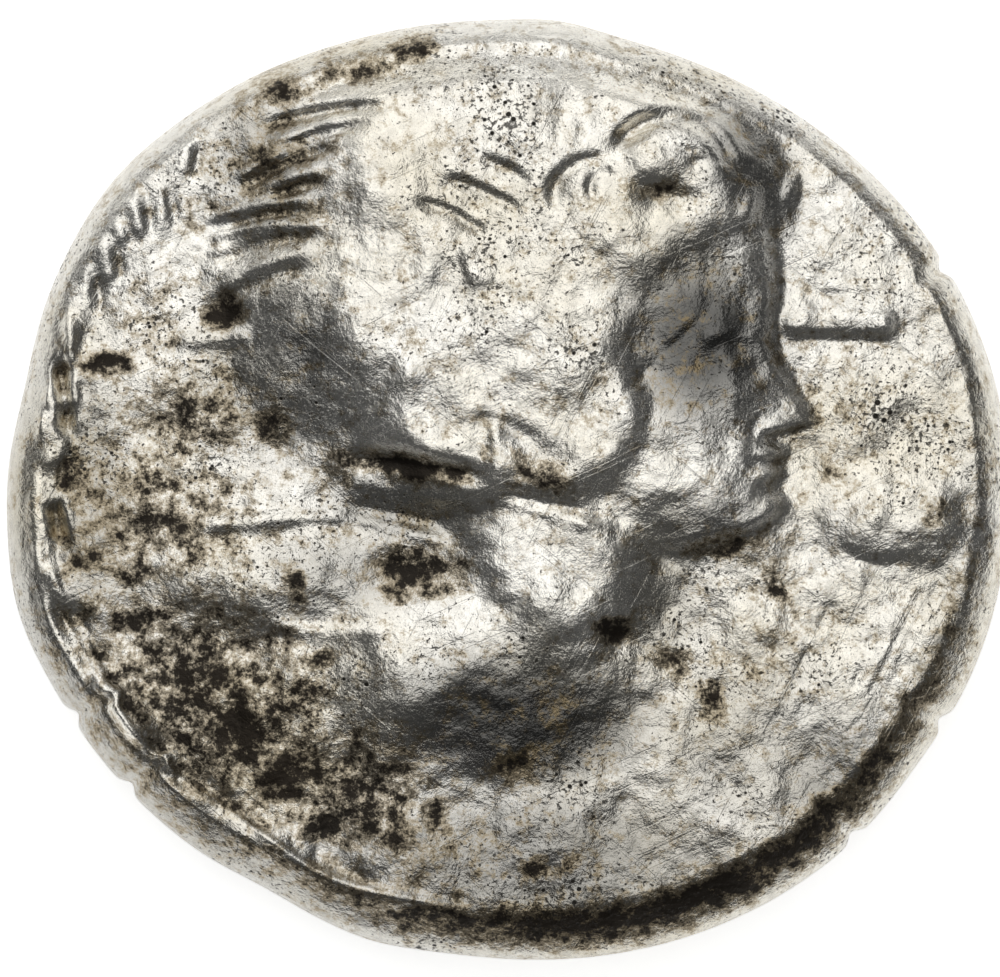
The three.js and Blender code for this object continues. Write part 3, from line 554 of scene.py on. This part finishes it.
# The fine carving stands a few hundredths proud of the solid's, so the whole is drawn to the solid's own box
place = np.stack([x, y, height], axis=1)
low, high = place.min(axis=0), place.max(axis=0)
place = np.array(cad_box[0]) + (place - low) / (high - low) * np.subtract(cad_box[1], cad_box[0])
coin.data.vertices.foreach_set("co", place.ravel())
for name, values in (("hollow", hollow), ("toning_and_painted_shade", toning_and_painted_shade), ("painted_shade_and_tarnish", painted_shade_and_tarnish)):
    layer = coin.data.attributes.new(name, "FLOAT", "POINT")
    layer.data.foreach_set("value", values)
coin.data.shade_smooth()
coin.data.update()


def linear(hex_colour):
    channels = [int(hex_colour[i:i + 2], 16) / 255 for i in (1, 3, 5)]
    return tuple(c / 12.92 if c <= 0.04045 else ((c + 0.055) / 1.055) ** 2.4 for c in channels) + (1.0,)


def add_node(tree, kind, inputs=None, settings=None):
    """Adds a node. An input is a value or another node's output, under its socket's name or number."""
    made = tree.nodes.new(kind)
    for key, value in (settings or {}).items():
        setattr(made, key, value)
    for key, value in (inputs or {}).items():
        if isinstance(value, bpy.types.NodeSocket):
            tree.links.new(value, made.inputs[key])
        else:
            made.inputs[key].default_value = value
    return made


# Struck silver, worn by handling: a pale warm metal, satin from fine scratches, with pits of old corrosion
MULTIPLY_ADD = {"operation": "MULTIPLY_ADD"}
HIGHER = {"operation": "MAXIMUM"}
COLOUR_MIX = {"data_type": "RGBA"}
SMOOTH = {"interpolation_type": "SMOOTHSTEP"}
MM_PER_METRE = 1000.0
silver = bpy.data.materials.new("worn_struck_silver")
silver.use_nodes = True
tree = silver.node_tree
tree.nodes.clear()
object_place = add_node(tree, "ShaderNodeTexCoord").outputs["Object"]
in_mm = add_node(tree, "ShaderNodeVectorMath",
                 {0: object_place, "Scale": MM_PER_METRE}, {"operation": "SCALE"})
position = in_mm.outputs[0]
hollow_value = add_node(tree, "ShaderNodeAttribute", settings={"attribute_name": "hollow"}).outputs["Fac"]
painted_shade_and_tarnish_value = add_node(tree, "ShaderNodeAttribute", settings={"attribute_name": "painted_shade_and_tarnish"}).outputs["Fac"]
toning_and_shade_value = add_node(tree, "ShaderNodeAttribute", settings={"attribute_name": "toning_and_painted_shade"}).outputs["Fac"]

# Toning breaks up into flecks of 0.1 to 1 mm
flecks = add_node(tree, "ShaderNodeTexNoise",
                  {"Vector": position, "Scale": 2.0, "Detail": 9.0, "Roughness": 0.80})
fleck_shift = add_node(tree, "ShaderNodeMath", {0: flecks.outputs["Fac"], 1: 4.6, 2: -2.72}, MULTIPLY_ADD)
hollow_gain = add_node(tree, "ShaderNodeMath",
                       {0: hollow_value, 1: 1.9, 2: fleck_shift.outputs[0]}, MULTIPLY_ADD)
# The toning sum also carries the painted shade of the rolled shoulder
tone_and_shade_sum = add_node(tree, "ShaderNodeMath",
                    {0: toning_and_shade_value, 1: 1.8, 2: hollow_gain.outputs[0]}, MULTIPLY_ADD)
tone_and_shade_mask = add_node(tree, "ShaderNodeMapRange",
                     {"Value": tone_and_shade_sum.outputs[0], "From Min": 0.05, "From Max": 0.55, "To Max": 0.98},
                     SMOOTH)

# Pits up to 0.15 mm across and finer specks, thicker where a slow noise allows them
pit_cells = add_node(tree, "ShaderNodeTexVoronoi", {"Vector": position, "Scale": 3.6, "Randomness": 1.0})
pit_room = add_node(tree, "ShaderNodeTexNoise", {"Vector": position, "Scale": 0.35, "Detail": 3.0})
pit_size = add_node(tree, "ShaderNodeMapRange",
                    {"Value": pit_room.outputs["Fac"], "From Min": 0.42, "From Max": 0.72,
                     "To Min": -0.05, "To Max": 0.30})
pit_edge = add_node(tree, "ShaderNodeMath",
                    {0: pit_size.outputs[0], 1: pit_cells.outputs["Distance"]}, {"operation": "SUBTRACT"})
pit_mask = add_node(tree, "ShaderNodeMapRange", {"Value": pit_edge.outputs[0], "From Max": 0.07})
speck_noise = add_node(tree, "ShaderNodeTexNoise",
                       {"Vector": position, "Scale": 9.0, "Detail": 3.0, "Roughness": 0.6})
speck_shift = add_node(tree, "ShaderNodeMath",
                       {0: pit_room.outputs["Fac"], 1: 0.42, 2: speck_noise.outputs["Fac"]}, MULTIPLY_ADD)
speck_mask = add_node(tree, "ShaderNodeMapRange",
                      {"Value": speck_shift.outputs[0], "From Min": 0.83, "From Max": 0.91, "To Max": 0.85})
marks = add_node(tree, "ShaderNodeMath", {0: pit_mask.outputs[0], 1: speck_mask.outputs[0]}, HIGHER)

# Hairline scratches, drawn wide enough to show; each direction has its lean, stretch and threshold
FIBRE_LENGTH = 4.5
FIBRE_EDGE = 0.03
hairlines = None
for lean, stretch, threshold in ((62.0, 26.0, 0.665), (25.0, 30.0, 0.675), (-40.0, 22.0, 0.68)):
    grain = (FIBRE_LENGTH, FIBRE_LENGTH / stretch, FIBRE_LENGTH)
    turned = add_node(tree, "ShaderNodeMapping",
                      {"Vector": position, "Rotation": (0.0, 0.0, np.radians(lean)), "Scale": grain},
                      {"vector_type": "TEXTURE"})
    fibre = add_node(tree, "ShaderNodeTexNoise",
                     {"Vector": turned.outputs[0], "Scale": 1.0, "Detail": 2.0, "Roughness": 0.5})
    line = add_node(tree, "ShaderNodeMapRange",
                    {"Value": fibre.outputs["Fac"], "From Min": threshold,
                     "From Max": threshold + FIBRE_EDGE})
    if hairlines is None:
        hairlines = line
    else:
        hairlines = add_node(tree, "ShaderNodeMath", {0: hairlines.outputs[0], 1: line.outputs[0]}, HIGHER)

# Colour: pale silver, warmer in broad clouds, grey where shade is painted, brown then black in toning and in
# the painted shade of the shoulder.
# A colour mix takes its share at input 0 and its colours at 6 and 7, and gives the result at output 2.
clouds = add_node(tree, "ShaderNodeTexNoise",
                  {"Vector": position, "Scale": 0.22, "Detail": 5.0, "Roughness": 0.6})
cloud_mask = add_node(tree, "ShaderNodeMapRange",
                      {"Value": clouds.outputs["Fac"], "From Min": 0.42, "From Max": 0.70, "To Max": 0.75})
pale = add_node(tree, "ShaderNodeMix",
                {0: cloud_mask.outputs[0], 6: linear("#efece4"), 7: linear("#dcd4c0")}, COLOUR_MIX)
film = add_node(tree, "ShaderNodeTexNoise",
                {"Vector": position, "Scale": 2.6, "Detail": 8.0, "Roughness": 0.72})
film_mask = add_node(tree, "ShaderNodeMapRange",
                     {"Value": film.outputs["Fac"], "From Min": 0.42, "From Max": 0.70, "To Max": 0.32})
filmed = add_node(tree, "ShaderNodeMix",
                  {0: film_mask.outputs[0], 6: pale.outputs[2], 7: linear("#8f8a7e")}, COLOUR_MIX)
# Painted shade: this grey mix darkens wherever the shade mask lies
greyed = add_node(tree, "ShaderNodeMix",
                  {0: painted_shade_and_tarnish_value, 6: filmed.outputs[2], 7: linear("#5f5e5b")}, COLOUR_MIX)
sulphide = add_node(tree, "ShaderNodeMix",
                    {0: clouds.outputs["Fac"], 6: linear("#121110"), 7: linear("#2c241b")}, COLOUR_MIX)
halo_mask = add_node(tree, "ShaderNodeMapRange",
                     {"Value": tone_and_shade_sum.outputs[0], "From Min": -0.42, "From Max": 0.20, "To Max": 0.72},
                     SMOOTH)
browned = add_node(tree, "ShaderNodeMix",
                   {0: halo_mask.outputs[0], 6: greyed.outputs[2], 7: linear("#8d7b58")}, COLOUR_MIX)
toned_and_shaded = add_node(tree, "ShaderNodeMix",
                 {0: tone_and_shade_mask.outputs[0], 6: browned.outputs[2], 7: sulphide.outputs[2]}, COLOUR_MIX)
marked = add_node(tree, "ShaderNodeMix",
                  {0: marks.outputs[0], 6: toned_and_shaded.outputs[2], 7: linear("#2b2823")}, COLOUR_MIX)

# Dark spots are duller and a little less metallic than the bare silver
dark = add_node(tree, "ShaderNodeMath", {0: tone_and_shade_mask.outputs[0], 1: marks.outputs[0]}, HIGHER)
metal = add_node(tree, "ShaderNodeMapRange", {"Value": dark.outputs[0], "To Min": 1.0, "To Max": 0.8})
gloss = add_node(tree, "ShaderNodeMapRange",
                 {"Value": film.outputs["Fac"], "From Min": 0.3, "From Max": 0.7,
                  "To Min": 0.19, "To Max": 0.31})
rough = add_node(tree, "ShaderNodeMath", {0: dark.outputs[0], 1: 0.22, 2: gloss.outputs[0]}, MULTIPLY_ADD)

# Relief too fine for the mesh: the worn skin of the metal, then the pits and scratches cut into it
SKIN_DEPTH = 0.000050
CUT_DEPTH = 0.000012
skin = add_node(tree, "ShaderNodeTexNoise",
                {"Vector": position, "Scale": 3.4, "Detail": 4.0, "Roughness": 0.68})
skin_bump = add_node(tree, "ShaderNodeBump",
                     {"Strength": 1.0, "Distance": SKIN_DEPTH, "Height": skin.outputs["Fac"]})
cuts = add_node(tree, "ShaderNodeMath", {0: hairlines.outputs[0], 1: 0.45, 2: marks.outputs[0]}, MULTIPLY_ADD)
cut_bump = add_node(tree, "ShaderNodeBump",
                    {"Strength": 1.0, "Distance": CUT_DEPTH, "Height": cuts.outputs[0],
                     "Normal": skin_bump.outputs[0]}, {"invert": True})
shader = add_node(tree, "ShaderNodeBsdfPrincipled",
                  {"Base Color": marked.outputs[2], "Metallic": metal.outputs[0],
                   "Roughness": rough.outputs[0], "Normal": cut_bump.outputs[0]})
add_node(tree, "ShaderNodeOutputMaterial", {"Surface": shader.outputs[0]})
coin.data.materials.append(silver)

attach(coin, "root")
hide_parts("coin")

# Floor: a white card under the coin that glows a little, like a light box, so that it comes out white
FLOOR_HALF_WIDTH = 1.5
FLOOR_GAP = 0.00002
CARD_GLOW = 0.7
floor_mesh = bmesh.new()
bmesh.ops.create_grid(floor_mesh, x_segments=1, y_segments=1, size=FLOOR_HALF_WIDTH)
floor = bpy.data.objects.new("floor", bpy.data.meshes.new("floor"))
floor_mesh.to_mesh(floor.data)
floor_mesh.free()
floor.location.z = -FLOOR_GAP
bpy.context.scene.collection.objects.link(floor)
card = bpy.data.materials.new("white_card")
card.use_nodes = True
card_shader = card.node_tree.nodes["Principled BSDF"]
card_shader.inputs["Base Color"].default_value = linear("#f4f4f2")
card_shader.inputs["Roughness"].default_value = 0.9
card_shader.inputs["Emission Color"].default_value = (1.0, 1.0, 1.0, 1.0)
card_shader.inputs["Emission Strength"].default_value = CARD_GLOW
floor.data.materials.append(card)

# Light: a soft box overhead, a wider one beyond the coin's top side and one at the upper left, in a dim room.
# Each has the place of its centre and its two sizes.
WATTS_PER_SQUARE_METRE = 4.0
SOFTBOX_HEIGHT = 0.5
ROOM_STRENGTH = 0.11
SOFTBOXES = [("softbox_overhead", 0.0, 0.43, 0.52, 1.14),
             ("softbox_beyond", 0.0, 1.40, 2.40, 0.80),
             ("softbox_upper_left", -0.56, 0.62, 0.60, 0.76)]
for name, centre_x, centre_y, size_x, size_y in SOFTBOXES:
    softbox = bpy.data.lights.new(name, "AREA")
    softbox.shape = "RECTANGLE"
    softbox.size = size_x
    softbox.size_y = size_y
    softbox.energy = WATTS_PER_SQUARE_METRE * size_x * size_y
    softbox_object = bpy.data.objects.new(name, softbox)
    softbox_object.location = (centre_x, centre_y, SOFTBOX_HEIGHT)
    bpy.context.scene.collection.objects.link(softbox_object)
world = bpy.data.worlds.new("room")
world.use_nodes = True
world.node_tree.nodes["Background"].inputs["Color"].default_value = linear("#d8dadd")
world.node_tree.nodes["Background"].inputs["Strength"].default_value = ROOM_STRENGTH
bpy.context.scene.world = world
bpy.context.scene.view_settings.view_transform = "Standard"

# Camera: straight above the coin, far off with a long lens, framed as in the photograph
CAMERA_HEIGHT = 0.288
FRAME_WIDTH_AT_FIELD = 0.02568
FRAME_SHIFT_X = -0.000205
FRAME_SHIFT_Y = 0.000039
SENSOR_WIDTH = 36.0
camera = bpy.data.cameras.new("camera")
camera.sensor_width = SENSOR_WIDTH
camera.lens = SENSOR_WIDTH * (CAMERA_HEIGHT - FIELD_HEIGHT / MM_PER_METRE) / FRAME_WIDTH_AT_FIELD
camera.clip_start = 0.01
camera_object = bpy.data.objects.new("camera", camera)
frame_middle = -(low[:2] + high[:2]) / 2 / MM_PER_METRE
camera_object.location = (frame_middle[0] + FRAME_SHIFT_X, frame_middle[1] + FRAME_SHIFT_Y, CAMERA_HEIGHT)
bpy.context.scene.collection.objects.link(camera_object)
bpy.context.scene.camera = camera_object
